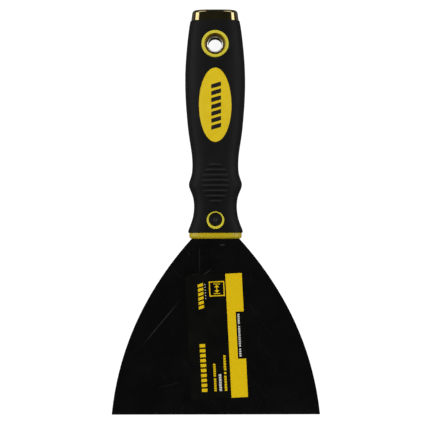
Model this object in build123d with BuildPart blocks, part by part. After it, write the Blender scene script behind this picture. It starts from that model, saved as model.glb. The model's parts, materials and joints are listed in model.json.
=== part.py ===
"""Broad taping knife, 125 mm, with a two-material riveted handle and a hammer cap.

Millimetres. X is the width, +Y runs from the blade's working edge to the hammer cap, +Z is the label side.
The knife lies on its back: the origin is at the middle of its footprint, where the handle's back touches z = 0.
Distances named "from the edge" are measured along Y from the blade's working edge.
"""

from build123d import *
from math import copysign, cos, hypot, pi, sin
import os

os.makedirs("parts", exist_ok=True)

# ---------------------------------------------------------------- driving dimensions
LENGTH = 242.2
BLADE_WIDTH = 125.0

# Blade and tang
BLADE_HALF_MID = 56.0  # half width a third of the way up
BLADE_MID = 33.0  # distance from the edge of that point
BLADE_HALF_UPPER = 42.35  # half width where the lower arc ends
BLADE_UPPER = 66.0  # distance from the edge of that point
SHOULDER_HALF = 14.3  # half width where the blade meets the collar
SHOULDER = 105.5  # distance from the edge to the collar face
NECK_HALF = 9.0  # half width of the tang inside the collar
NECK_END = 112.0
TANG_HALF = 7.0
TANG_START = 118.0
TANG_THICKNESS = 1.5
EDGE_THICKNESS = 0.6  # blade thickness at the top of the edge bevel
BEVEL_LENGTH = 1.2
BEVEL_EDGE = 0.25

# Handle form: distance from the edge, full width, full thickness
HANDLE_STATIONS = [
    (109.0, 32.8, 16.2),  # flared front end, on the collar
    (112.6, 30.9, 16.3),
    (117.3, 27.6, 16.6),
    (123.0, 25.8, 17.3),  # neck
    (128.3, 26.2, 18.2),
    (133.0, 28.8, 18.9),
    (137.7, 31.8, 19.4),  # finger stop
    (142.4, 29.3, 19.1),
    (148.2, 27.6, 18.8),  # waist
    (156.0, 28.3, 19.2),
    (166.0, 31.3, 20.4),
    (179.0, 34.1, 21.8),
    (193.0, 35.8, 22.6),  # palm swell
    (207.0, 35.7, 22.0),
    (219.0, 34.0, 20.5),
    (229.0, 31.8, 19.0),
    (235.8, 29.6, 17.6),  # butt end, under the hammer cap
]
SECTION_POWER = 2.8  # exponent of the handle's superellipse section
SECTION_POINTS = 24
GRIP_START = HANDLE_STATIONS[0][0]
GRIP_END = HANDLE_STATIONS[-1][0]
GRIP_WALL = 2.2
GRIP_END_ROUND = 0.5
LIP_ROUND = 0.4

# Collar, the part of the core that shows between grip and blade
COLLAR_WIDTH = 31.4
COLLAR_THICKNESS = 15.4
COLLAR_ROUND = 1.5

# Oval window
OVAL_AT = 185.0
OVAL_WIDTH = 19.3
OVAL_LENGTH = 43.9
OVAL_RECESS = 0.25
OVAL_CHAMFER = 0.3

# Hanging hole
HANG_AT = 221.3
RING_PROUD = 0.35
RING_ROUND = 0.5
HANG_RING_R = 8.1
HANG_MOUTH_R = 6.45
HANG_SEAT_R = 5.4
HANG_SEAT = 4.9  # height of the eyelet's seat above the middle of the handle
EYELET_R = 4.65
EYELET_BORE_R = 4.15
EYELET_FLANGE_R = 5.3
WASHER_THICKNESS = 0.5

# Compression rivet at the collar
RIVET_AT = 117.0
RIVET_RING_R = 5.2
RIVET_RING_ROUND = 0.25
RIVET_RING_SHIFT = 0.45  # the moulded ring sits this much nearer the blade than the rivet
RIVET_RECESS_R = 4.1
RIVET_HEAD_R = 4.0
RIVET_HEAD_THICKNESS = 1.3
RIVET_SEAT = 6.2  # height of the head's seat above the middle of the handle
RIVET_BARREL_R = 2.6
RIVET_SHANK_R = 2.0
RIVET_SHANK_GAP = 1.5  # space left at the blind end of the barrel
DIMPLE_R = 1.1

# Hammer cap
CAP_WIDTH = 28.6
CAP_THICKNESS = 16.8
CAP_END_WIDTH = 27.0
CAP_END_THICKNESS = 15.2
CAP_WALL = 1.2
CAP_ROUND = 2.2

# Hidden moulding details of the core
PEG_R = 2.4
PEG_DEPTH = 4.5
PEGS_AT = (152.0, 208.0)
POCKET_AT = (166.0, 180.0, 194.0)
POCKET_WIDTH = 12.0
POCKET_LENGTH = 11.0
POCKET_CORNER = 1.5
POCKET_DEPTH = 5.0

# Thumb ribs
RIB_COUNT = 8
RIB_PITCH = 3.1
RIBS_AT = 138.9
RIB_ZONE_LENGTH = 25.6
RIB_ZONE_WIDTH = 17.0
RIB_R = 1.3  # radius of a rib's spindle at its middle
RIB_SINK = 0.8  # how far the spindle's axis lies under the surface

# Label on the blade
LABEL_WIDTH = 34.0
LABEL_LENGTH = 74.5
LABEL_CORNER = 1.0
LABEL_FILM = 0.12
LABEL_GLUE = 0.01
LABEL_X = 0.5
LABEL_AT = 46.9
LABEL_TURN = 2.8  # the label is stuck on slightly askew

# How rims and cross edges are recognised
RIM_BAND = 1.5  # a rim's upper edges lie no further than this below the handle's crown
EDGE_FIT = 0.01

# ---------------------------------------------------------------- derived places
# the oval window on the back is what the knife lies on
MID_Z = max(thickness for _, _, thickness in HANDLE_STATIONS) / 2 - OVAL_RECESS


def along(from_edge):
    """Y of a place that lies this far from the working edge."""
    return from_edge - LENGTH / 2


def face_plane(from_edge, side=1, height=0.0):
    """Plane seen from the front (side 1) or the back (side -1), at a height above the middle of the handle."""
    return Plane(
        origin=(0, along(from_edge), MID_Z + side * height),
        x_dir=(side, 0, 0),
        z_dir=(0, 0, side),
    )


def cross_plane(from_edge):
    """Plane across the handle, facing the hammer cap. Its local X is the width and its local Y the thickness."""
    return Plane(origin=(0, along(from_edge), MID_Z), x_dir=(1, 0, 0), z_dir=(0, 1, 0))


def section_points(half_width, half_thickness):
    """Points around a superellipse, for a closed spline."""
    points = []
    for i in range(SECTION_POINTS):
        turn = 2 * pi * i / SECTION_POINTS
        across = copysign(abs(cos(turn)) ** (2 / SECTION_POWER), cos(turn))
        through = copysign(abs(sin(turn)) ** (2 / SECTION_POWER), sin(turn))
        points.append((half_width * across, half_thickness * through))
    return points


def handle_form(inset):
    """The handle's outer form, drawn in by an inset all round (or swollen by a negative one)."""
    with BuildPart() as form:
        for from_edge, width, thickness in HANDLE_STATIONS:
            with BuildSketch(cross_plane(from_edge)):
                with BuildLine():
                    Spline(
                        *section_points(width / 2 - inset, thickness / 2 - inset),
                        periodic=True,
                    )
                make_face()
        loft()
    return form.part


def edges_at(part, from_edge):
    """Edges that lie in one cross plane of a handle part."""
    return part.edges().filter_by_position(
        Axis.Y, along(from_edge) - EDGE_FIT, along(from_edge) + EDGE_FIT
    )


def half_thickness(from_edge):
    """Half the handle's thickness at a place between two stations."""
    for near, far in zip(HANDLE_STATIONS, HANDLE_STATIONS[1:]):
        if near[0] <= from_edge <= far[0]:
            share = (from_edge - near[0]) / (far[0] - near[0])
            return (near[2] + share * (far[2] - near[2])) / 2
    raise ValueError(f"{from_edge} is not on the handle")


def rim_edges(part, centre_at, half_width, half_length):
    """Upper edges, on both faces, of a round or oval outline that cuts through the handle."""
    lowest = half_thickness(centre_at) - RIM_BAND
    found = ShapeList()
    for edge in part.edges().filter_by(GeomType.LINE, reverse=True):
        points = [edge.position_at(share) for share in (0.1, 0.5, 0.9)]
        sizes = [hypot(p.X / half_width, (p.Y - along(centre_at)) / half_length) for p in points]
        heights = [abs(p.Z - MID_Z) for p in points]
        if max(abs(size - 1) for size in sizes) < EDGE_FIT and min(heights) > lowest:
            found.append(edge)
    return found


outer_form = handle_form(0)
core_form = handle_form(GRIP_WALL)
ring_form = handle_form(-RING_PROUD)
oval_form = handle_form(OVAL_RECESS)

# ---------------------------------------------------------------- blade with its full tang
TANG_END = LENGTH - CAP_WALL

with BuildPart() as blade:
    with BuildSketch(face_plane(0)):
        with BuildLine():
            lower = ThreePointArc(
                (BLADE_WIDTH / 2, 0),
                (BLADE_HALF_MID, BLADE_MID),
                (BLADE_HALF_UPPER, BLADE_UPPER),
            )
            TangentArc(lower @ 1, (SHOULDER_HALF, SHOULDER), tangent=lower % 1)
            Polyline(
                (SHOULDER_HALF, SHOULDER),
                (NECK_HALF, SHOULDER),
                (NECK_HALF, NECK_END),
                (TANG_HALF, TANG_START),
                (TANG_HALF, TANG_END),
                (0, TANG_END),
            )
            Line((0, 0), (BLADE_WIDTH / 2, 0))
            mirror(about=Plane.YZ)
        make_face()
    extrude(amount=TANG_THICKNESS, both=True)
    # taper-ground blade: thick at the shoulder, thin at the working edge, with a short bevel
    with BuildSketch(Plane.YZ):
        with BuildLine():
            Polyline(
                (along(0), MID_Z + BEVEL_EDGE / 2),
                (along(BEVEL_LENGTH), MID_Z + EDGE_THICKNESS / 2),
                (along(SHOULDER), MID_Z + TANG_THICKNESS / 2),
                (along(TANG_END), MID_Z + TANG_THICKNESS / 2),
                (along(TANG_END), MID_Z - TANG_THICKNESS / 2),
                (along(SHOULDER), MID_Z - TANG_THICKNESS / 2),
                (along(BEVEL_LENGTH), MID_Z - EDGE_THICKNESS / 2),
                (along(0), MID_Z - BEVEL_EDGE / 2),
                close=True,
            )
        make_face()
    extrude(amount=BLADE_WIDTH, both=True, mode=Mode.INTERSECT)
    with Locations(face_plane(RIVET_AT)):
        Hole(RIVET_BARREL_R)
    with Locations(face_plane(HANG_AT)):
        Hole(EYELET_R)
    for peg_at in PEGS_AT:
        with Locations(face_plane(peg_at)):
            Hole(PEG_R)
blade.part.label = "blade"

# ---------------------------------------------------------------- label film on the tapered blade face
grind_rise = (TANG_THICKNESS - EDGE_THICKNESS) / 2 / (SHOULDER - BEVEL_LENGTH)
label_height = EDGE_THICKNESS / 2 + grind_rise * (LABEL_AT - BEVEL_LENGTH) + LABEL_GLUE
label_plane = Plane(
    origin=(LABEL_X, along(LABEL_AT), MID_Z + label_height),
    x_dir=(1, 0, 0),
    z_dir=(0, -grind_rise, 1),
)

with BuildPart() as blade_label:
    with BuildSketch(label_plane.rotated((0, 0, LABEL_TURN))):
        RectangleRounded(LABEL_WIDTH, LABEL_LENGTH, LABEL_CORNER)
    extrude(amount=LABEL_FILM)
blade_label.part.label = "blade_label"


# ---------------------------------------------------------------- core: hard inner moulding
def ring_boss(ring_at, ring_r):
    """Round boss through the grip on both faces, its ends following the handle's crown."""
    with BuildPart() as boss:
        with BuildSketch(face_plane(ring_at)):
            Circle(ring_r)
        extrude(amount=LENGTH, both=True)
        add(ring_form, mode=Mode.INTERSECT)
    return boss.part


with BuildPart() as oval_pad:
    with BuildSketch(face_plane(OVAL_AT)):
        Ellipse(OVAL_WIDTH / 2, OVAL_LENGTH / 2)
    extrude(amount=LENGTH, both=True)
    add(oval_form, mode=Mode.INTERSECT)

with BuildPart() as collar:
    with BuildSketch(cross_plane(GRIP_START)):
        with BuildLine():
            Spline(
                *section_points(COLLAR_WIDTH / 2, COLLAR_THICKNESS / 2), periodic=True
            )
        make_face()
    extrude(amount=SHOULDER - GRIP_START)
    fillet(edges_at(collar, SHOULDER), COLLAR_ROUND)


def cap_body(inset):
    """Tapered, round-edged body of the hammer cap, or with an inset the space inside it."""
    end = LENGTH - inset
    with BuildPart() as body:
        for from_edge, width, thickness in (
            (GRIP_END, CAP_WIDTH, CAP_THICKNESS),
            (end, CAP_END_WIDTH, CAP_END_THICKNESS),
        ):
            with BuildSketch(cross_plane(from_edge)):
                with BuildLine():
                    Spline(
                        *section_points(width / 2 - inset, thickness / 2 - inset),
                        periodic=True,
                    )
                make_face()
        loft()
        fillet(edges_at(body, end), CAP_ROUND - inset)
    return body.part


cap_outside = cap_body(0)
cap_inside = cap_body(CAP_WALL)

ring_at = RIVET_AT - RIVET_RING_SHIFT
hang_top = half_thickness(HANG_AT) + RING_PROUD

with BuildPart() as core:
    add(core_form)
    add(ring_boss(HANG_AT, HANG_RING_R))
    add(ring_boss(ring_at, RIVET_RING_R))
    add(oval_pad.part)
    add(collar.part)
    add(cap_inside)
    for side in (1, -1):
        # conical mouth of the hanging hole, down to the eyelet's seat
        with BuildSketch(face_plane(HANG_AT, side, HANG_SEAT)) as seat:
            Circle(HANG_SEAT_R)
        with BuildSketch(face_plane(HANG_AT, side, hang_top + RING_ROUND)) as mouth:
            Circle(HANG_MOUTH_R)
        loft([seat.sketch, mouth.sketch], mode=Mode.SUBTRACT)
        with Locations(face_plane(RIVET_AT, side, RIVET_SEAT)):
            Cylinder(
                RIVET_RECESS_R,
                LENGTH,
                align=(Align.CENTER, Align.CENTER, Align.MIN),
                mode=Mode.SUBTRACT,
            )
    with Locations(face_plane(HANG_AT)):
        Hole(EYELET_R)
    with Locations(face_plane(RIVET_AT)):
        Hole(RIVET_BARREL_R)
    fillet(rim_edges(core, HANG_AT, HANG_RING_R, HANG_RING_R), RING_ROUND)
    fillet(rim_edges(core, ring_at, RIVET_RING_R, RIVET_RING_R), RIVET_RING_ROUND)
    fillet(rim_edges(core, RIVET_AT, RIVET_RECESS_R, RIVET_RECESS_R), RIVET_RING_ROUND)
    add(blade.part, mode=Mode.SUBTRACT)


def core_half(side):
    """One half of the core, cored out with pockets behind the tang."""
    keep = Keep.TOP if side > 0 else Keep.BOTTOM
    with BuildPart() as half:
        add(core.part)
        split(bisect_by=Plane.XY.offset(MID_Z), keep=keep)
        for pocket_at in POCKET_AT:
            with BuildSketch(face_plane(pocket_at, side, TANG_THICKNESS / 2)):
                RectangleRounded(POCKET_WIDTH, POCKET_LENGTH, POCKET_CORNER)
            extrude(amount=POCKET_DEPTH, mode=Mode.SUBTRACT)
        # locating pegs on the front half run through the tang into the back half
        for peg_at in PEGS_AT:
            with BuildSketch(face_plane(peg_at)):
                Circle(PEG_R)
            extrude(amount=-PEG_DEPTH, mode=Mode.ADD if side > 0 else Mode.SUBTRACT)
    return half


core_front = core_half(1)
core_back = core_half(-1)
core_front.part.label = "core_front"
core_back.part.label = "core_back"

# ---------------------------------------------------------------- soft grip sleeve with thumb ribs


def thumb_rib(offset):
    """Spindle lying across the handle, this far along from the middle of the rib zone, mostly sunk in the grip."""
    reach = RIB_ZONE_WIDTH / 2 * (1 - (offset / (RIB_ZONE_LENGTH / 2)) ** 2) ** 0.5
    surface = half_thickness(RIBS_AT + offset)
    with BuildPart() as rib:
        with BuildSketch(face_plane(RIBS_AT + offset, 1, surface - RIB_SINK)):
            with BuildLine():
                ThreePointArc((-reach, 0), (0, RIB_R), (reach, 0))
                Line((reach, 0), (-reach, 0))
            make_face()
        revolve(axis=Axis((0, along(RIBS_AT + offset), MID_Z + surface - RIB_SINK), (1, 0, 0)))
    return rib.part


with BuildPart() as soft_grip:
    add(outer_form)
    fillet(edges_at(soft_grip, GRIP_START) + edges_at(soft_grip, GRIP_END), GRIP_END_ROUND)
    for i in range(RIB_COUNT):
        rib = thumb_rib((i - (RIB_COUNT - 1) / 2) * RIB_PITCH)
        add(rib)
        add(mirror(rib, about=Plane.XY.offset(MID_Z), mode=Mode.PRIVATE))
    with BuildSketch(face_plane(HANG_AT)):
        Circle(HANG_RING_R)
    with BuildSketch(face_plane(ring_at)):
        Circle(RIVET_RING_R)
    with BuildSketch(face_plane(OVAL_AT)):
        Ellipse(OVAL_WIDTH / 2, OVAL_LENGTH / 2)
    extrude(amount=LENGTH, both=True, mode=Mode.SUBTRACT)
    add(core_form, mode=Mode.SUBTRACT)
    fillet(rim_edges(soft_grip, HANG_AT, HANG_RING_R, HANG_RING_R), LIP_ROUND)
    fillet(rim_edges(soft_grip, ring_at, RIVET_RING_R, RIVET_RING_R), LIP_ROUND)
    chamfer(rim_edges(soft_grip, OVAL_AT, OVAL_WIDTH / 2, OVAL_LENGTH / 2), OVAL_CHAMFER)
soft_grip.part.label = "soft_grip"

# ---------------------------------------------------------------- compression rivet
with BuildPart() as rivet_male:
    with Locations(face_plane(RIVET_AT, 1, RIVET_SEAT)):
        Cylinder(RIVET_HEAD_R, RIVET_HEAD_THICKNESS, align=(Align.CENTER, Align.CENTER, Align.MIN))
    fillet(rivet_male.edges().sort_by(Axis.Z)[-1], RIVET_HEAD_THICKNESS / 2)
    with Locations(face_plane(RIVET_AT, 1, RIVET_SEAT + RIVET_HEAD_THICKNESS)):
        CounterSinkHole(DIMPLE_R / 4, DIMPLE_R, RIVET_HEAD_THICKNESS / 4)
    with BuildSketch(face_plane(RIVET_AT, 1, RIVET_SEAT)):
        Circle(RIVET_SHANK_R)
    extrude(amount=-(2 * RIVET_SEAT - RIVET_SHANK_GAP))
rivet_male.part.label = "rivet_male"

with BuildPart() as rivet_female:
    with Locations(face_plane(RIVET_AT, -1, RIVET_SEAT)):
        Cylinder(RIVET_HEAD_R, RIVET_HEAD_THICKNESS, align=(Align.CENTER, Align.CENTER, Align.MIN))
    fillet(rivet_female.edges().sort_by(Axis.Z)[0], RIVET_HEAD_THICKNESS / 2)
    with BuildSketch(face_plane(RIVET_AT, -1, RIVET_SEAT)):
        Circle(RIVET_BARREL_R)
        Circle(RIVET_SHANK_R, mode=Mode.SUBTRACT)
    extrude(amount=-2 * RIVET_SEAT)
rivet_female.part.label = "rivet_female"

# ---------------------------------------------------------------- hanging eyelet and its washer
ROLL_R = (EYELET_FLANGE_R - EYELET_BORE_R) / 2
ROLL_MID_R = EYELET_FLANGE_R - ROLL_R
eyelet_front = MID_Z + HANG_SEAT
eyelet_back = MID_Z - HANG_SEAT - WASHER_THICKNESS

with BuildPart() as hang_eyelet:
    with BuildSketch(Plane.XZ.offset(-along(HANG_AT))):
        with BuildLine():
            Polyline(
                (EYELET_FLANGE_R, eyelet_front),
                (EYELET_R, eyelet_front),
                (EYELET_R, eyelet_back),
                (EYELET_FLANGE_R, eyelet_back),
            )
            ThreePointArc(
                (EYELET_FLANGE_R, eyelet_back),
                (ROLL_MID_R, eyelet_back - ROLL_R),
                (EYELET_BORE_R, eyelet_back),
            )
            Line((EYELET_BORE_R, eyelet_back), (EYELET_BORE_R, eyelet_front))
            ThreePointArc(
                (EYELET_BORE_R, eyelet_front),
                (ROLL_MID_R, eyelet_front + ROLL_R),
                (EYELET_FLANGE_R, eyelet_front),
            )
        make_face()
    revolve(axis=Axis((0, along(HANG_AT), 0), (0, 0, 1)))
hang_eyelet.part.label = "hang_eyelet"

with BuildPart() as eyelet_washer:
    with BuildSketch(face_plane(HANG_AT, -1, HANG_SEAT)):
        Circle(EYELET_FLANGE_R)
        Circle(EYELET_R, mode=Mode.SUBTRACT)
    extrude(amount=WASHER_THICKNESS)
eyelet_washer.part.label = "eyelet_washer"

# ---------------------------------------------------------------- hammer cap
with BuildPart() as hammer_cap:
    add(cap_outside)
    add(cap_inside, mode=Mode.SUBTRACT)
hammer_cap.part.label = "hammer_cap"

# ---------------------------------------------------------------- output
PIECES = [
    blade,
    blade_label,
    core_front,
    core_back,
    soft_grip,
    rivet_male,
    rivet_female,
    hang_eyelet,
    eyelet_washer,
    hammer_cap,
]
for piece in PIECES:
    export_step(piece.part, f"parts/{piece.part.label}.step")
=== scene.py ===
"""Looks of the broad taping knife: materials, print, floor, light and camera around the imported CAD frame."""

import json
import math

import bmesh
import bpy
from mathutils import Matrix, Vector
from mathutils.bvhtree import BVHTree

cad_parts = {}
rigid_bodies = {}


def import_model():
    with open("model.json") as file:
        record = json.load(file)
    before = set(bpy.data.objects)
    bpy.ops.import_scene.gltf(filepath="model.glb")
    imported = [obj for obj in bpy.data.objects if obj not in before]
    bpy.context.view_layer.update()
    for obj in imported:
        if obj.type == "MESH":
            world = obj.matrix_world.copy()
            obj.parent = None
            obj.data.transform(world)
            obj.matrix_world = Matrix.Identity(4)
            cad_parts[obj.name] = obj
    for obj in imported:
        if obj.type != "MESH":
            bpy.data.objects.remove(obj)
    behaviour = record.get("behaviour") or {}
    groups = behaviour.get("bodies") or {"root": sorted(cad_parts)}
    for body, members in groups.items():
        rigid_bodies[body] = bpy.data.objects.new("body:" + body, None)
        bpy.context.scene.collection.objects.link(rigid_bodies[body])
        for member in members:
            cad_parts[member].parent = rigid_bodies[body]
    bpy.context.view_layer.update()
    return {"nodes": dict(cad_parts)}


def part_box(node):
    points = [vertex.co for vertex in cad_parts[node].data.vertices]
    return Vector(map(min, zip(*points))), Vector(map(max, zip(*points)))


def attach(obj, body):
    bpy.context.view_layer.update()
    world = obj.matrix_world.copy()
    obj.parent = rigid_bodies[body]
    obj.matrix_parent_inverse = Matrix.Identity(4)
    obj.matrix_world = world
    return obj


for leftover in list(bpy.data.objects):
    bpy.data.objects.remove(leftover)

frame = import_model()
NODES = frame["nodes"]
MM = 0.001

# ---------------------------------------------------------------- places read from the frame
blade_low, blade_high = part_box("blade")
grip_low, grip_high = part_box("soft_grip")
eyelet_low, eyelet_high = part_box("hang_eyelet")
rivet_low, rivet_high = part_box("rivet_male")
label_low, label_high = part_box("blade_label")

EDGE_Y = blade_low.y
MID_Z = (blade_low.z + blade_high.z) / 2
HANG_Y = (eyelet_low.y + eyelet_high.y) / 2
RIVET_Y = (rivet_low.y + rivet_high.y) / 2
COLLAR_END_Y = grip_low.y + 0.8 * MM  # just inside the grip, where the collar goes out of sight
OVAL_Y = EDGE_Y + 185.0 * MM
RIBS_Y = EDGE_Y + 138.9 * MM
RIB_PITCH = 3.1 * MM


def place_on_blade(x, from_edge):
    """A place on the blade, from millimetres off its middle line and from its working edge."""
    return (x * MM, EDGE_Y + from_edge * MM, 0.0)


# ---------------------------------------------------------------- node helpers
class Nodes:
    """Short way to build a material's node tree."""

    def __init__(self, name):
        self.material = bpy.data.materials.new(name)
        self.material.use_nodes = True
        self.tree = self.material.node_tree
        self.tree.nodes.clear()
        self.output = self.tree.nodes.new("ShaderNodeOutputMaterial")
        self.shader = self.tree.nodes.new("ShaderNodeBsdfPrincipled")
        self.link(self.shader.outputs[0], self.output.inputs["Surface"])
        self.place = self.tree.nodes.new("ShaderNodeTexCoord").outputs["Object"]

    def link(self, source, target):
        self.tree.links.new(source, target)

    def feed(self, socket, value):
        """Links a socket, or sets a number or colour on it."""
        if isinstance(value, bpy.types.NodeSocket):
            self.link(value, socket)
        else:
            socket.default_value = value

    def set(self, **inputs):
        """Feeds the shader's inputs, named with underscores for spaces."""
        for name, value in inputs.items():
            self.feed(self.shader.inputs[name.replace("_", " ")], value)

    def math(self, operation, a, b=0.0):
        node = self.tree.nodes.new("ShaderNodeMath")
        node.operation = operation
        self.feed(node.inputs[0], a)
        self.feed(node.inputs[1], b)
        return node.outputs[0]

    def vector(self, operation, a, b=(0, 0, 0)):
        node = self.tree.nodes.new("ShaderNodeVectorMath")
        node.operation = operation
        self.feed(node.inputs[0], a)
        self.feed(node.inputs[1], b)
        return node.outputs["Value"] if operation in ("LENGTH", "DOT_PRODUCT") else node.outputs[0]

    def axes(self, vector):
        node = self.tree.nodes.new("ShaderNodeSeparateXYZ")
        self.feed(node.inputs[0], vector)
        return node.outputs

    def map(self, value, from_low, from_high, to_low=0.0, to_high=1.0, smooth=False):
        node = self.tree.nodes.new("ShaderNodeMapRange")
        node.interpolation_type = "SMOOTHSTEP" if smooth else "LINEAR"
        self.feed(node.inputs["Value"], value)
        for name, number in (
            ("From Min", from_low),
            ("From Max", from_high),
            ("To Min", to_low),
            ("To Max", to_high),
        ):
            node.inputs[name].default_value = number
        return node.outputs["Result"]

    def noise(self, size, detail=3.0, roughness=0.5, stretch=(1, 1, 1), turn=0.0):
        """Noise whose features are about size metres across, stretched along its own axes."""
        mapping = self.tree.nodes.new("ShaderNodeMapping")
        mapping.vector_type = "TEXTURE"  # so that the stretch follows the turned axes
        mapping.inputs["Rotation"].default_value = (0, 0, turn)
        mapping.inputs["Scale"].default_value = [size * s for s in stretch]
        self.link(self.place, mapping.inputs["Vector"])
        node = self.tree.nodes.new("ShaderNodeTexNoise")
        node.inputs["Scale"].default_value = 1.0
        node.inputs["Detail"].default_value = detail
        node.inputs["Roughness"].default_value = roughness
        self.link(mapping.outputs[0], node.inputs["Vector"])
        return node.outputs["Fac"]

    def blend(self, share, a, b):
        """Colour a where the share is 0 and b where it is 1."""
        node = self.tree.nodes.new("ShaderNodeMix")
        node.data_type = "RGBA"
        self.feed(node.inputs["Factor"], share)
        self.feed(node.inputs["A"], a)
        self.feed(node.inputs["B"], b)
        return node.outputs["Result"]

    def bump(self, height, depth, strength):
        """Shades the surface as if the height, from 0 to 1, stood depth metres out of it."""
        node = self.tree.nodes.new("ShaderNodeBump")
        node.inputs["Strength"].default_value = strength
        node.inputs["Distance"].default_value = depth
        self.link(height, node.inputs["Height"])
        self.link(node.outputs[0], self.shader.inputs["Normal"])

    def near_axis(self, y, inner, fade):
        """1 within a radius of the upright axis through (0, y), and 0 beyond the fade around it."""
        flat = self.vector("MULTIPLY", self.vector("SUBTRACT", self.place, (0, y, 0)), (1, 1, 0))
        distance = self.vector("LENGTH", flat)
        return self.map(distance, inner, inner + fade, 1.0, 0.0, smooth=True)


def grey(level):
    return (level, level, level, 1.0)


# ---------------------------------------------------------------- rubber
RUBBER_GRAIN = 0.32 * MM
RUBBER_GRAIN_DEPTH = 0.03 * MM
RIBS_HALF_WIDTH = 8.5 * MM
RIBS_HALF_LENGTH = 12.8 * MM


def rubber_material():
    """Soft black overmould: fine spark-eroded grain, faint handling shine and dust."""
    m = Nodes("grip_rubber")
    grain = m.noise(RUBBER_GRAIN, detail=2.0, roughness=0.6)
    patches = m.noise(14 * MM, detail=3.0)
    specks = m.map(m.noise(0.9 * MM, detail=1.0), 0.74, 0.80)
    color = m.blend(m.map(patches, 0.35, 0.7), grey(0.0035), grey(0.0049))
    # thumb ribs: painted highlight along the crests and painted shade in the grooves
    across, up, _ = m.axes(m.place)
    travel = m.math("SUBTRACT", up, RIBS_Y)
    wave = m.math("COSINE", m.math("MULTIPLY", travel, 2 * math.pi / RIB_PITCH))
    reach = m.math(
        "ADD",
        m.math("POWER", m.math("DIVIDE", across, RIBS_HALF_WIDTH), 2.0),
        m.math("POWER", m.math("DIVIDE", travel, RIBS_HALF_LENGTH), 2.0),
    )
    zone = m.map(reach, 0.7, 1.05, 1.0, 0.0, smooth=True)
    crest_highlight = m.math("MULTIPLY", zone, m.map(wave, -0.95, -0.5, 1.0, 0.0))
    groove_shade = m.math("MULTIPLY", zone, m.map(wave, 0.3, 0.95))
    color = m.blend(groove_shade, color, grey(0.0016))
    color = m.blend(crest_highlight, color, grey(0.0125))
    m.set(
        Base_Color=m.blend(m.math("MULTIPLY", specks, 0.30), color, grey(0.03)),
        Roughness=m.map(patches, 0.3, 0.75, 0.50, 0.62),
        Specular_IOR_Level=0.055,
    )
    m.bump(grain, RUBBER_GRAIN_DEPTH, 0.55)
    return m.material


# ---------------------------------------------------------------- yellow plastic
HANG_RING_RADIUS = 8.6 * MM
RIVET_RING_RADIUS = 6.0 * MM
RING_FADE = 0.6 * MM
MOUTH_RADIUS = 6.1 * MM
SHADE_FADE = 0.5 * MM


def core_material():
    """Golden yellow moulding, a little greener on the two rings, with painted shade on the hang hole's mouth
    wall and over the collar below the grip.
    """
    m = Nodes("core_plastic")
    mottling = m.noise(5 * MM, detail=4.0)
    gold = m.blend(
        m.map(mottling, 0.3, 0.7), (0.465, 0.33, 0.006, 1), (0.49, 0.355, 0.008, 1)
    )
    rings = m.math(
        "MAXIMUM",
        m.near_axis(HANG_Y, HANG_RING_RADIUS, RING_FADE),
        m.near_axis(RIVET_Y, RIVET_RING_RADIUS, RING_FADE),
    )
    tinted = m.blend(rings, gold, (0.41, 0.353, 0.024, 1))
    # painted shade: the hang hole's mouth wall and the collar below the grip are coloured darker to stand in
    # for shade
    mouth_shade = m.near_axis(HANG_Y, MOUTH_RADIUS, SHADE_FADE)
    collar_shade = m.map(
        m.axes(m.place)[1], COLLAR_END_Y - SHADE_FADE, COLLAR_END_Y, 1.0, 0.0, smooth=True
    )
    with_mouth_shade = m.blend(mouth_shade, tinted, (0.16, 0.10, 0.003, 1))
    m.set(
        Base_Color=m.blend(collar_shade, with_mouth_shade, (0.305, 0.23, 0.002, 1)),
        Roughness=m.map(mottling, 0.3, 0.7, 0.38, 0.46),
        Specular_IOR_Level=0.2,
    )
    m.bump(m.noise(0.25 * MM, detail=1.0), 0.01 * MM, 0.25)
    return m.material


# ---------------------------------------------------------------- blade steel
# scratches: x and distance from the edge of both ends, width in mm, and how bright
SCRATCHES = (
    ((-20.5, 69.5), (-44.5, 41.0), 0.35, 0.75),
    ((-9.7, 102.0), (-9.5, 83.5), 0.35, 0.45),
    ((-8.2, 83.2), (-2.2, 87.4), 0.40, 0.70),
    ((-16.0, 83.6), (-8.0, 84.3), 0.30, 0.40),
    ((-18.6, 77.0), (-15.5, 80.0), 0.40, 0.45),
    ((-17.2, 98.0), (-15.0, 95.0), 0.40, 0.40),
    ((24.0, 60.0), (36.5, 44.0), 0.25, 0.18),
    ((-34.0, 16.2), (-20.5, 19.6), 0.35, 0.35),
    ((2.2, 101.6), (6.0, 101.9), 0.60, 0.80),
)
SCRATCH_STRENGTH = 0.7
HAIR_STRENGTH = 0.18
DUST_STRENGTH = 0.35
WORN_EDGE_START = 0.6 * MM
WORN_EDGE_END = 1.4 * MM


def scratch(m, start, end, width):
    """1 along a hair-thin line on the blade between two places, fading at its ends."""
    start = Vector(start)
    end = Vector(end)
    along = (end - start).normalized()
    across = Vector((-along.y, along.x, 0))
    offset = m.vector("SUBTRACT", m.place, (start.x, start.y, 0))
    side = m.math("ABSOLUTE", m.vector("DOT_PRODUCT", offset, across))
    travel = m.vector("DOT_PRODUCT", offset, along)
    length = (end - start).length
    line = m.map(side, 0.0, width, 1.0, 0.0)
    rise = m.map(travel, 0.0, length * 0.25)
    fall = m.map(travel, length * 0.75, length, 1.0, 0.0)
    return m.math("MULTIPLY", line, m.math("MULTIPLY", rise, fall))


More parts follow.
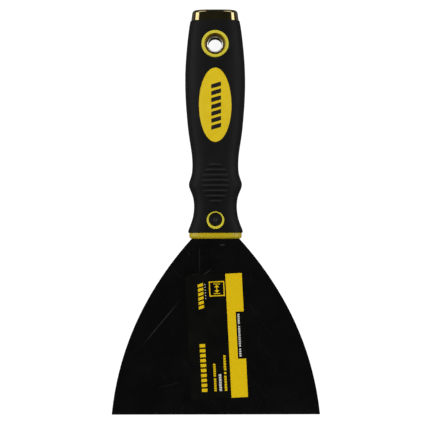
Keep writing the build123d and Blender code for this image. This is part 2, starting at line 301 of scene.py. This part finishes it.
def blade_material():
    """Black polished spring steel: nearly invisible grinding lines, a few scratches and dust."""
    m = Nodes("blade_steel")
    grind = m.noise(0.25 * MM, detail=2.0, stretch=(60, 1, 1))
    haze = m.noise(22 * MM, detail=5.0, roughness=0.6)
    hair_a = m.map(m.noise(0.35 * MM, detail=0.0, stretch=(1, 70, 1), turn=0.62), 0.79, 0.86)
    hair_b = m.map(m.noise(0.4 * MM, detail=0.0, stretch=(1, 55, 1), turn=-0.35), 0.80, 0.87)
    dust = m.map(m.noise(0.55 * MM, detail=0.0), 0.80, 0.86)
    marks = m.math("MULTIPLY", m.math("MAXIMUM", hair_a, hair_b), HAIR_STRENGTH)
    for start, end, width, strength in SCRATCHES:
        line = scratch(m, place_on_blade(*start), place_on_blade(*end), width * MM)
        marks = m.math("MAXIMUM", marks, m.math("MULTIPLY", line, SCRATCH_STRENGTH * strength))
    marks = m.math("MAXIMUM", marks, m.math("MULTIPLY", dust, DUST_STRENGTH))
    clear = m.blend(m.map(haze, 0.35, 0.75), grey(0.027), grey(0.040))
    # the ground working edge is a narrow brighter band
    up = m.axes(m.place)[1]
    edge = m.map(up, EDGE_Y + WORN_EDGE_START, EDGE_Y + WORN_EDGE_END, 1.0, 0.0, smooth=True)
    worn = m.blend(m.math("MULTIPLY", edge, 0.5), clear, grey(0.05))
    m.set(
        Base_Color=m.blend(marks, worn, grey(0.22)),
        Metallic=1.0,
        Roughness=m.math("ADD", m.map(haze, 0.3, 0.8, 0.13, 0.20), m.math("MULTIPLY", marks, 0.4)),
    )
    m.bump(grind, 0.004 * MM, 0.35)
    return m.material


# ---------------------------------------------------------------- film, inks and plated metal
def film_material():
    """Black printed film with a soft sheen."""
    m = Nodes("label_film")
    haze = m.noise(9 * MM, detail=4.0)
    m.set(
        Base_Color=m.blend(m.map(haze, 0.3, 0.7), grey(0.0019), (0.0029, 0.0029, 0.0022, 1)),
        Roughness=m.map(haze, 0.3, 0.7, 0.22, 0.30),
        Specular_IOR_Level=0.08,
    )
    m.bump(m.noise(3 * MM, detail=2.0), 0.01 * MM, 0.3)
    return m.material


def ink_material(name, light, dark):
    """Flat printed ink with slight unevenness."""
    m = Nodes(name)
    uneven = m.noise(0.7 * MM, detail=3.0)
    m.set(
        Base_Color=m.blend(m.map(uneven, 0.3, 0.7), dark, light),
        Roughness=m.map(uneven, 0.3, 0.7, 0.38, 0.48),
        Specular_IOR_Level=0.12,
    )
    return m.material


# painted highlight at the middle of the rivet head, where its dimple would catch light
DIMPLE_HIGHLIGHT_RADIUS = 0.5 * MM
DIMPLE_HIGHLIGHT_FADE = 1.0 * MM


def metal_material(name, color, worn, roughness, dimple_highlight=(0, 0, 0, 1), lacquer=0.0):
    """Plated metal, slightly uneven in tone and polish. The dimple colour is a painted highlight at the
    rivet's middle.
    """
    m = Nodes(name)
    haze = m.noise(2.5 * MM, detail=4.0)
    hair = m.map(m.noise(0.2 * MM, detail=0.0, stretch=(25, 1, 1), turn=0.3), 0.76, 0.84)
    m.set(
        Base_Color=m.blend(
            m.near_axis(RIVET_Y, DIMPLE_HIGHLIGHT_RADIUS, DIMPLE_HIGHLIGHT_FADE),
            m.blend(m.map(haze, 0.3, 0.75), color, worn),
            dimple_highlight,
        ),
        Metallic=1.0,
        Roughness=m.math(
            "ADD",
            m.map(haze, 0.3, 0.8, roughness, roughness + 0.06),
            m.math("MULTIPLY", hair, 0.15),
        ),
        Coat_Weight=lacquer,
        Coat_Roughness=0.05,
    )
    m.bump(m.noise(1.6 * MM, detail=2.0), 0.012 * MM, 0.2)
    return m.material


def paint(node, material):
    """Gives a CAD node its material."""
    slots = NODES[node].data.materials
    slots.clear()
    slots.append(material)


# ---------------------------------------------------------------- printed film on the blade
LABEL_TURN = math.radians(2.8)
LABEL_CENTRE = (label_low + label_high) / 2
INK_DEPTH = 0.03 * MM
INK_BASE = 0.002 * MM
PROBE_HEIGHT = 5 * MM  # rays fall from here to find the surface that ink lies on
PROBE_STEP = 10  # millimetres between the rays that find the label's tilt

# The print, in the label's own millimetres: u across, v up towards the handle. A place is (u0, v0, u1, v1).
BAR = [
    (7.1, -37.2), (17.0, -37.2), (17.0, -14.1), (12.2, -14.1),
    (12.2, 14.2), (17.0, 14.2), (17.0, 37.2), (7.1, 37.2),
]
SIGN_FRAME = (-3.0, 24.0, 6.25, 33.0)
SIGN_LINE = 0.65
SIGN_ARROW = (-0.4, 25.4, 3.6, 31.6)
MARK_ROW = (-9.7, 16.6, -6.5, 32.4)  # leaning blocks at the top
DOT_ROW = (-5.65, 22.8, -5.05, 32.8)  # dots beside them
TITLE_ROW = (-10.4, -32.9, -7.1, -3.2)  # bold blocks at the bottom
SMALL_ROWS_YELLOW = (  # place and block counts of each line
    ((-3.2, -32.8, -1.2, -16.0), (6, 6)),
    ((3.1, -32.9, 5.1, -11.2), (6, 1, 6)),
)
SMALL_ROW_WHITE = (-0.2, -32.8, 2.0, -22.4)
NOTCH_ROW = (12.9, -12.8, 14.6, 13.2)  # in the bar's notch


def label_frame():
    """Matrix from the label's own millimetres (u across, v up towards the handle) to the row frame."""
    tree = BVHTree.FromObject(NODES["blade_label"], bpy.context.evaluated_depsgraph_get())
    spots = []
    for u, v in ((0, 0), (PROBE_STEP, 0), (0, PROBE_STEP)):
        start = LABEL_CENTRE + Vector((u * MM, v * MM, PROBE_HEIGHT))
        spots.append(tree.ray_cast(start, Vector((0, 0, -1)))[0])
    normal = (spots[1] - spots[0]).cross(spots[2] - spots[0]).normalized()
    across = Vector((math.cos(LABEL_TURN), math.sin(LABEL_TURN), 0))
    up = normal.cross(across).normalized()
    across = up.cross(normal)
    turn = Matrix((across, up, normal)).transposed().to_4x4()
    return Matrix.Translation(spots[0]) @ turn @ Matrix.Scale(MM, 4)


def add_piece(name, mesh, material):
    """Puts a mesh into the scene as a piece of the tool, which is one body."""
    mesh.materials.append(material)
    piece = bpy.data.objects.new(name, mesh)
    bpy.context.scene.collection.objects.link(piece)
    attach(piece, "root")


def ink_piece(name, outlines, material):
    """Thin printed shapes on the label: each outline is a closed list of (u, v) in millimetres."""
    mesh = bpy.data.meshes.new(name)
    built = bmesh.new()
    place = label_frame()
    for outline in outlines:
        top = [built.verts.new(place @ Vector((u, v, INK_DEPTH / MM))) for u, v in outline]
        base = [built.verts.new(place @ Vector((u, v, INK_BASE / MM))) for u, v in outline]
        built.faces.new(top)
        built.faces.new(list(reversed(base)))
        for i in range(len(outline)):
            j = (i + 1) % len(outline)
            built.faces.new((base[i], base[j], top[j], top[i]))
    bmesh.ops.recalc_face_normals(built, faces=built.faces)
    built.to_mesh(mesh)
    built.free()
    add_piece(name, mesh, material)


def block(u0, v0, u1, v1, slant=0.0):
    """A rectangle, or with a slant a leaning one."""
    return [(u0, v0), (u1, v0 + slant), (u1, v1 + slant), (u0, v1)]


def small_row(u0, v0, u1, v1, groups, gap=0.3):
    """A line of equal plain blocks in groups, running up the label: groups are block counts."""
    space = 2.2 * gap
    step = (v1 - v0 - space * (len(groups) - 1)) / sum(groups)
    inset = (u1 - u0) * 0.16
    blocks = []
    at = v0
    for count in groups:
        for _ in range(count):
            blocks.append(block(u0 + inset, at, u1 - inset, at + step - gap))
            at += step
        at += space
    return blocks


def block_row(u0, v0, u1, v1, count, fill, slant=0.0):
    """A row of blocks that runs up the label, each filling its share of the pitch."""
    pitch = (v1 - v0) / count
    return [
        block(u0, v0 + i * pitch, u1, v0 + (i + fill) * pitch, slant) for i in range(count)
    ]


def frame_outline(u0, v0, u1, v1, line):
    """Four bars that make a rectangular frame."""
    return [
        block(u0, v0, u1, v0 + line),
        block(u0, v1 - line, u1, v1),
        block(u0, v0 + line, u0 + line, v1 - line),
        block(u1 - line, v0 + line, u1, v1 - line),
    ]


def width_arrow(u0, v0, u1, v1):
    """Two-headed arrow between two stops, the usual sign for a width, running up the label."""
    stop = 0.45
    tip = 0.7  # distance of an arrow tip from the end of the sign
    head = 1.5
    half_head = (u1 - u0) / 2 * 0.75
    half_shaft = 0.28
    mid = (u0 + u1) / 2
    low = v0 + tip + head
    high = v1 - tip - head
    return [
        block(u0, v0, u1, v0 + stop),
        block(u0, v1 - stop, u1, v1),
        [(mid, v0 + tip), (mid + half_head, low), (mid - half_head, low)],
        [(mid, v1 - tip), (mid - half_head, high), (mid + half_head, high)],
        block(mid - half_shaft, low, mid + half_shaft, high),
    ]


def add_print():
    """The label's print, with plain marks where the real one has words."""
    yellow = ink_material("ink_yellow", (0.49, 0.33, 0.002, 1), (0.45, 0.305, 0.002, 1))
    white = ink_material("ink_white", (0.42, 0.42, 0.40, 1), (0.30, 0.30, 0.29, 1))
    shapes = [BAR]
    shapes += frame_outline(*SIGN_FRAME, SIGN_LINE)
    shapes += width_arrow(*SIGN_ARROW)
    shapes += block_row(*MARK_ROW, count=6, fill=0.68, slant=0.9)
    shapes += block_row(*TITLE_ROW, count=10, fill=0.66)
    for place, groups in SMALL_ROWS_YELLOW:
        shapes += small_row(*place, groups)
    ink_piece("label_print_yellow", shapes, yellow)
    marks = small_row(*SMALL_ROW_WHITE, (7,))
    marks += small_row(*NOTCH_ROW, (4, 10, 5), gap=0.36)
    marks += block_row(*DOT_ROW, count=6, fill=0.32)
    ink_piece("label_print_white", marks, white)


# ---------------------------------------------------------------- printed mark in the oval window
# in millimetres
OVAL_MARK_PLACE = (0.55, 0.2)  # off the window's middle
OVAL_MARK_HALF_WIDTH = 2.9
OVAL_MARK_HALF_LENGTH = 14.2
OVAL_MARK_BLOCKS = 7
OVAL_MARK_FILL = 0.62
OVAL_MARK_SLANT = 1.7
OVAL_MARK_ROWS = 8
OVAL_MARK_COLUMNS = 4


def add_oval_mark():
    """A row of slanted black blocks printed on the domed oval window."""
    tree = BVHTree.FromObject(NODES["core_front"], bpy.context.evaluated_depsgraph_get())
    mesh = bpy.data.meshes.new("oval_mark")
    built = bmesh.new()
    pitch = 2 * OVAL_MARK_HALF_LENGTH / OVAL_MARK_BLOCKS

    def on_window(x, y):
        x += OVAL_MARK_PLACE[0]
        y += OVAL_MARK_PLACE[1]
        start = Vector((x * MM, OVAL_Y + y * MM, grip_high.z + PROBE_HEIGHT))
        return tree.ray_cast(start, Vector((0, 0, -1)))[0] + Vector((0, 0, INK_DEPTH))

    for i in range(OVAL_MARK_BLOCKS):
        low = -OVAL_MARK_HALF_LENGTH + i * pitch
        rows = []
        for row in range(OVAL_MARK_ROWS + 1):
            share = row / OVAL_MARK_ROWS
            x = OVAL_MARK_HALF_WIDTH * (2 * share - 1)
            y = low + OVAL_MARK_SLANT * (share - 0.5)
            step = pitch * OVAL_MARK_FILL / OVAL_MARK_COLUMNS
            rows.append(
                [built.verts.new(on_window(x, y + step * j)) for j in range(OVAL_MARK_COLUMNS + 1)]
            )
        for a, b in zip(rows, rows[1:]):
            for j in range(OVAL_MARK_COLUMNS):
                built.faces.new((a[j], b[j], b[j + 1], a[j + 1]))
    built.to_mesh(mesh)
    built.free()
    black = ink_material("ink_black", (0.012, 0.010, 0.009, 1), (0.007, 0.006, 0.006, 1))
    add_piece("oval_mark", mesh, black)


# ---------------------------------------------------------------- floor, light, camera
FLOOR_HALF_SIZE = 6.0
FLOOR_Z = -0.0005
FLOOR_GLOW = 0.93  # only for the camera, so that the floor looks white without lighting the tool
ROOM_LIGHT = 0.10
# azimuth and elevation in degrees, strength, angular size in degrees
SUNS = (
    (172, 32, 3.0, 40),
    (8, 32, 2.7, 36),
    (118, 28, 0.8, 30),
    (62, 28, 0.8, 30),
    (-90, 32, 0.5, 40),
)


def add_floor():
    low = -FLOOR_HALF_SIZE
    high = FLOOR_HALF_SIZE
    mesh = bpy.data.meshes.new("floor")
    corners = [(low, low, 0), (high, low, 0), (high, high, 0), (low, high, 0)]
    mesh.from_pydata(corners, [], [(0, 1, 2, 3)])
    floor = bpy.data.objects.new("floor", mesh)
    bpy.context.scene.collection.objects.link(floor)
    floor.location.z = FLOOR_Z
    m = Nodes("floor_paper")
    tooth = m.noise(60 * MM, detail=2.0)
    camera_ray = m.tree.nodes.new("ShaderNodeLightPath").outputs["Is Camera Ray"]
    m.set(
        Base_Color=m.blend(m.map(tooth, 0.3, 0.7), grey(0.19), grey(0.21)),
        Roughness=0.9,
        Emission_Color=grey(1.0),
        Emission_Strength=m.math("MULTIPLY", camera_ray, FLOOR_GLOW),
    )
    mesh.materials.append(m.material)


def add_sun(azimuth, elevation, strength, spread):
    """Soft light from a direction: azimuth turns from +X towards +Y, spread is its angular size."""
    data = bpy.data.lights.new("soft_light", "SUN")
    data.energy = strength
    data.angle = math.radians(spread)
    lamp = bpy.data.objects.new("soft_light", data)
    bpy.context.scene.collection.objects.link(lamp)
    a = math.radians(azimuth)
    e = math.radians(elevation)
    toward = Vector((math.cos(a) * math.cos(e), math.sin(a) * math.cos(e), math.sin(e)))
    lamp.rotation_euler = toward.to_track_quat("Z", "Y").to_euler()


def add_world():
    """White where the camera sees past the floor, and a dim even room for everything else."""
    world = bpy.data.worlds.new("studio")
    bpy.context.scene.world = world
    world.use_nodes = True
    tree = world.node_tree
    tree.nodes.clear()
    output = tree.nodes.new("ShaderNodeOutputWorld")
    path = tree.nodes.new("ShaderNodeLightPath")
    pick = tree.nodes.new("ShaderNodeMixShader")
    tree.links.new(path.outputs["Is Camera Ray"], pick.inputs[0])
    for socket, strength in ((1, ROOM_LIGHT), (2, 1.0)):
        background = tree.nodes.new("ShaderNodeBackground")
        background.inputs["Color"].default_value = (1, 1, 1, 1)
        background.inputs["Strength"].default_value = strength
        tree.links.new(background.outputs[0], pick.inputs[socket])
    tree.links.new(pick.outputs[0], output.inputs[0])


CAMERA_DISTANCE = 0.85
VIEW_WIDTH = 0.2579  # width of the picture at the blade's plane
VIEW_CENTRE = (-0.00026, -0.00144)  # where the camera looks, off the row's origin
CAMERA_TURN = math.radians(-0.12)
SENSOR = 36.0


def add_camera():
    data = bpy.data.cameras.new("camera")
    data.sensor_width = SENSOR
    data.lens = SENSOR * CAMERA_DISTANCE / VIEW_WIDTH
    data.clip_start = 0.01
    data.clip_end = 50
    camera = bpy.data.objects.new("camera", data)
    bpy.context.scene.collection.objects.link(camera)
    camera.location = (*VIEW_CENTRE, MID_Z + CAMERA_DISTANCE)
    camera.rotation_euler = (0, 0, CAMERA_TURN)
    bpy.context.scene.camera = camera


# ---------------------------------------------------------------- build
paint("soft_grip", rubber_material())
yellow_core = core_material()
paint("core_front", yellow_core)
paint("core_back", yellow_core)
paint("blade", blade_material())
paint("blade_label", film_material())
# the rivet's dimple colour is a painted highlight
dark_plate = metal_material(
    "rivet_metal", (0.05, 0.05, 0.052, 1), (0.09, 0.09, 0.092, 1), 0.22, dimple_highlight=(0.29, 0.29, 0.28, 1)
)
paint("rivet_male", dark_plate)
paint("rivet_female", dark_plate)
bright_plate = metal_material("eyelet_metal", (0.50, 0.49, 0.47, 1), (0.62, 0.61, 0.59, 1), 0.34)
paint("hang_eyelet", bright_plate)
paint("eyelet_washer", bright_plate)
brass_plate = metal_material(
    "cap_metal", (0.078, 0.060, 0.009, 1), (0.11, 0.085, 0.017, 1), 0.07, lacquer=0.9
)
paint("hammer_cap", brass_plate)
add_print()
add_oval_mark()
add_floor()
for sun in SUNS:
    add_sun(*sun)
add_world()
add_camera()
bpy.context.scene.view_settings.view_transform = "Standard"
